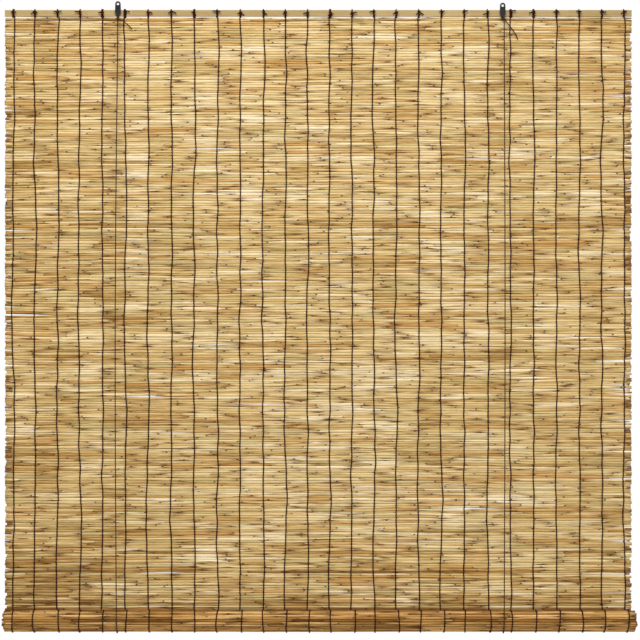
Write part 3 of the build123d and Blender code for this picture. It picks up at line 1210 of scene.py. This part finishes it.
cords = {}
for side, tail_points in (("left", LEFT_TAIL), ("right", RIGHT_TAIL)):
    knot, eye_x, eye_z = knot_middle(side)
    sling_low, sling_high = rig.box(f"{side}_cord_sling")
    sling_radius = (sling_high.y - sling_low.y) / 2 - CORD_RADIUS
    hanger_low, hanger_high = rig.box(f"{side}_hanger")

    # Binding: two turns round the batten, then two strands through the eye to the knot
    clear = CORD_RADIUS + 0.1 * MM
    half_depth = (BATTEN_HIGH.y - BATTEN_LOW.y) / 2 + clear
    half_height = (BATTEN_HIGH.z - BATTEN_LOW.z) / 2 + clear
    wraps = []
    a_turn = 24  # points
    for i in range(2 * a_turn + 1):
        y, z = squared(-0.25 * math.pi - 2 * math.pi * i / a_turn, half_depth, half_height)
        wraps.append((eye_x + (i / a_turn - 1) * 1.05 * MM, MAT_Y + y, BATTEN_Z + z))
    strand_y = hanger_high.y + 1.5 * MM
    front_y = hanger_low.y - 1.3 * MM
    through = []
    for way in (-1, 1):
        through.append(
            [
                (eye_x + way * 0.9 * MM, strand_y + 0.2 * MM, BATTEN_Z + 2.5 * MM),
                (eye_x + way * 0.95 * MM, strand_y, eye_z + 1.6 * MM),
                (eye_x + way * 0.98 * MM, strand_y - 0.6 * MM, eye_z + 0.1 * MM),
                (eye_x + way * 0.98 * MM, hanger_low.y + 0.6 * MM, eye_z - 0.2 * MM),
                (eye_x + way * 0.98 * MM, front_y, eye_z - 0.6 * MM),
                tuple(knot + Vector((way * 1.2, 0.4, 2.0)) * MM),
                tuple(knot + Vector((way * 0.6, 0.2, 0.4)) * MM),
            ]
        )
    loop_start = {"left": 0.6, "right": 2.4}[side]
    loop = overhand(2.3 * MM, 1.35 * MM, loop_start, 1, 14)
    loop = [tuple(knot + Vector(place)) for place in loop]
    lines = [{"points": wraps, "thickness": CORD_RADIUS}]
    lines += [{"points": smooth_route(p, 6), "thickness": CORD_RADIUS} for p in through]
    lines.append({"points": smooth_route(loop, 4), "thickness": CORD_RADIUS})
    binding = rods(f"{side}_binding", lines, CORD, CORD_SIDES)

    # Tail: the free end past the knot
    towards = Vector(tail_points[0]).normalized()
    points = [knot + towards * KNOT_REACH] + [knot + Vector(p) * MM for p in tail_points]
    tail, tail_route = tidy_cord(f"{side}_tail", [tuple(p) for p in points])

    # Front run: tight from the knot to the front of the roll, a little bowed sideways
    sling_front = Vector((eye_x, -sling_radius, ROLL_Z + 0.1 * MM))
    down = (sling_front - knot).normalized()
    run_top = knot + down * KNOT_REACH
    bow = {"left": -3.4, "right": 1.6}[side] * MM
    points = [run_top, run_top + down * 0.03]
    points += [run_top.lerp(sling_front, s) + Vector((bow, 0, 0)) for s in (0.35, 0.65)]
    points += [sling_front - down * 0.03, sling_front]
    front, front_route = tidy_cord(f"{side}_front_run", [tuple(p) for p in points], 16)

    # Sling: half a turn under the roll
    arc = [(eye_x, -sling_radius, ROLL_Z)]
    for i in range(6):
        angle = math.radians(195 + 30 * i)
        reach = sling_radius / math.cos(math.radians(15))
        arc.append((eye_x, reach * math.cos(angle), ROLL_Z + reach * math.sin(angle)))
    arc.append((eye_x, sling_radius, ROLL_Z))
    sling, _ = tidy_cord(f"{side}_sling", arc)

    # Back run: up the back of the mat, leaning a little to one side
    back_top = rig.box(f"{side}_cord_back")[1].z
    lean = {"left": (3.4, 6.2), "right": (5.0, 2.0)}[side]
    points = [(eye_x, sling_radius, ROLL_Z + 0.1 * MM), (eye_x, sling_radius, ROLL_Z + 0.04)]
    for leaning, z in ((lean[0], -0.30), (lean[1], 0.30), (lean[1], 0.52)):
        points.append((eye_x + leaning * MM, sling_radius, z))
    points.append((eye_x, sling_radius, back_top))
    back, _ = tidy_cord(f"{side}_back_run", points, 16)
    cords[side] = {
        "pieces": (binding, tail, front, sling, back),
        "routes": (tail_route, front_route),
        "tops": (run_top.z, back_top),
    }


# -------------------------------------------------------- what each piece rides on

UP = (0, 0, 1)
sheet_top = SHEET_HIGH.z
sheet_keep = 1 - LIFT / (SHEET_HIGH.z - SHEET_LOW.z)
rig.ride(sheet, "blind")
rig.squash(sheet, "roll_lift", axis=UP, anchor=(0, 0, sheet_top), keep=sheet_keep)
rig.replaces(sheet, "hanging_reeds")
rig.slot(sheet, "dried_reed")
for number, piece in enumerate(sheet_twine):
    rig.ride(piece, "blind")
    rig.squash(piece, "roll_lift", axis=UP, anchor=(0, 0, sheet_top), keep=sheet_keep)
    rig.slot(piece, "brown_twine")
    if number == 0:
        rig.replaces(piece, "warp_threads")
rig.ride(batten_ties, "blind")
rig.replaces(batten_ties, "thread_knots")
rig.slot(batten_ties, "brown_twine")
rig.ride(roll, "roll")
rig.replaces(roll, "rolled_mat")
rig.slot(roll, "weathered_reed")
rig.ride(roll_twine, "roll")
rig.replaces(roll_twine, "roll_threads")
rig.slot(roll_twine, "brown_twine")

for side, made in cords.items():
    binding, tail, front, sling, back = made["pieces"]
    for piece in (binding, tail, front, back):
        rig.ride(piece, "blind")
    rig.ride(sling, "slings")
    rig.replaces(binding, f"{side}_cord_knot")
    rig.replaces(tail, f"{side}_cord_tail")
    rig.replaces(front, f"{side}_cord_front")
    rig.replaces(sling, f"{side}_cord_sling")
    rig.replaces(back, f"{side}_cord_back")
    for piece in (binding, tail, front, sling, back):
        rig.slot(piece, "olive_cord")
    for piece, top in zip((front, back), made["tops"]):
        keep = 1 - LIFT / (top - ROLL_Z - 0.1 * MM)
        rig.squash(piece, "roll_lift", axis=UP, anchor=(0, 0, top), keep=keep)

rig.sheet(
    sheet,
    flat=(2 * HALF_REED, SHEET_HIGH.z - SHEET_LOW.z),
    held="hung",
    rests_on=["head_batten"],
    with_pieces=sheet_twine,
)
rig.sheet(roll, flat=(2 * HALF_REED, ROLL_SPAN), held="folded", with_pieces=[roll_twine])
for side, length in (("left", 0.0305), ("right", 0.0438)):
    _, tail, front, _, _ = cords[side]["pieces"]
    tail_route, front_route = cords[side]["routes"]
    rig.cord(
        tail,
        exit=tail_route[0],
        length=length,
        diameter=2 * CORD_RADIUS,
        far_end="bare",
        stiffness="limp",
        lay="hanging",
        path=tail_route,
    )
    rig.cord(
        front,
        exit=front_route[0],
        length=1.144,
        diameter=2 * CORD_RADIUS,
        far_end="object",
        stiffness="limp",
        lay="taut",
        path=front_route,
    )

for name, material in (
    ("head_batten", BATTEN),
    ("bottom_batten", BATTEN),
    ("left_hanger", PLASTIC),
    ("right_hanger", PLASTIC),
):
    nodes[name].material_slots[0].material = material


# -------------------------------------------------------- floor, light and camera

floor_material, floor_tree, floor_surface = new_material("pale_floor")
floor_place = add(floor_tree, "ShaderNodeTexCoord").outputs["Object"]
floor_base = blend_colours(
    floor_tree,
    noise_value(floor_tree, floor_place, 3.0, 3.0),
    colour(236, 235, 232),
    colour(226, 225, 222),
)
floor_tree.links.new(floor_base, floor_surface.inputs["Base Color"])
floor_surface.inputs["Roughness"].default_value = 0.8
floor_mesh = bpy.data.meshes.new("floor")
FLOOR_HALF, FLOOR_Z = 1.6, -1.0
corners = [
    (x * FLOOR_HALF, y * FLOOR_HALF, FLOOR_Z) for x, y in ((-1, -1), (1, -1), (1, 1), (-1, 1))
]
floor_mesh.from_pydata(corners, [], [(0, 1, 2, 3)])
floor_mesh.materials.append(floor_material)
floor = bpy.data.objects.new("floor", floor_mesh)
bpy.context.scene.collection.objects.link(floor)
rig.stage(floor)


def soft_light(name, place, size, power):
    """A soft box that points at the middle of the blind."""
    lamp = bpy.data.lights.new(name, "AREA")
    lamp.shape = "RECTANGLE"
    lamp.size, lamp.size_y = size
    lamp.energy = power
    holder = bpy.data.objects.new(name, lamp)
    holder.location = place
    holder.rotation_euler = (-Vector(place)).to_track_quat("-Z", "Y").to_euler()
    bpy.context.scene.collection.objects.link(holder)


soft_light("key", (-0.5, -2.1, 2.5), (2.4, 1.2), 100)
soft_light("fill", (1.4, -3.2, 0.4), (2.0, 2.0), 26)
soft_light("rear", (0.6, 2.6, 1.9), (2.0, 1.4), 40)

world = bpy.data.worlds.new("studio")
world.use_nodes = True
sky = world.node_tree
sky.nodes.clear()
# The blind is lit by a soft grey room, and seen against white.
lit = add(sky, "ShaderNodeBackground", {"Color": (1.0, 0.99, 0.97, 1.0), "Strength": 0.36})
seen = add(sky, "ShaderNodeBackground", {"Color": (1.0, 1.0, 1.0, 1.0), "Strength": 1.0})
path = add(sky, "ShaderNodeLightPath").outputs["Is Camera Ray"]
mixed = add(sky, "ShaderNodeMixShader", {0: path, 1: lit.outputs[0], 2: seen.outputs[0]})
add(sky, "ShaderNodeOutputWorld", {0: mixed.outputs[0]})
bpy.context.scene.world = world

camera_data = bpy.data.cameras.new("camera")
camera_data.sensor_width = 36.0
camera_data.lens = 129.8
camera_data.clip_end = 60.0
camera = bpy.data.objects.new("camera", camera_data)
camera.location = (0.95 * MM, -4.4, -6.1 * MM)
camera.rotation_euler = (math.radians(90), 0, 0)
bpy.context.scene.collection.objects.link(camera)
bpy.context.scene.camera = camera
bpy.context.scene.view_settings.view_transform = "Standard"

low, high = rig.bounds()
with open("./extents.json", "w") as file:
    json.dump(
        {
            "cad": [list(low_at_start), list(high_at_start)],
            "shown": [list(low), list(high)],
        },
        file,
    )
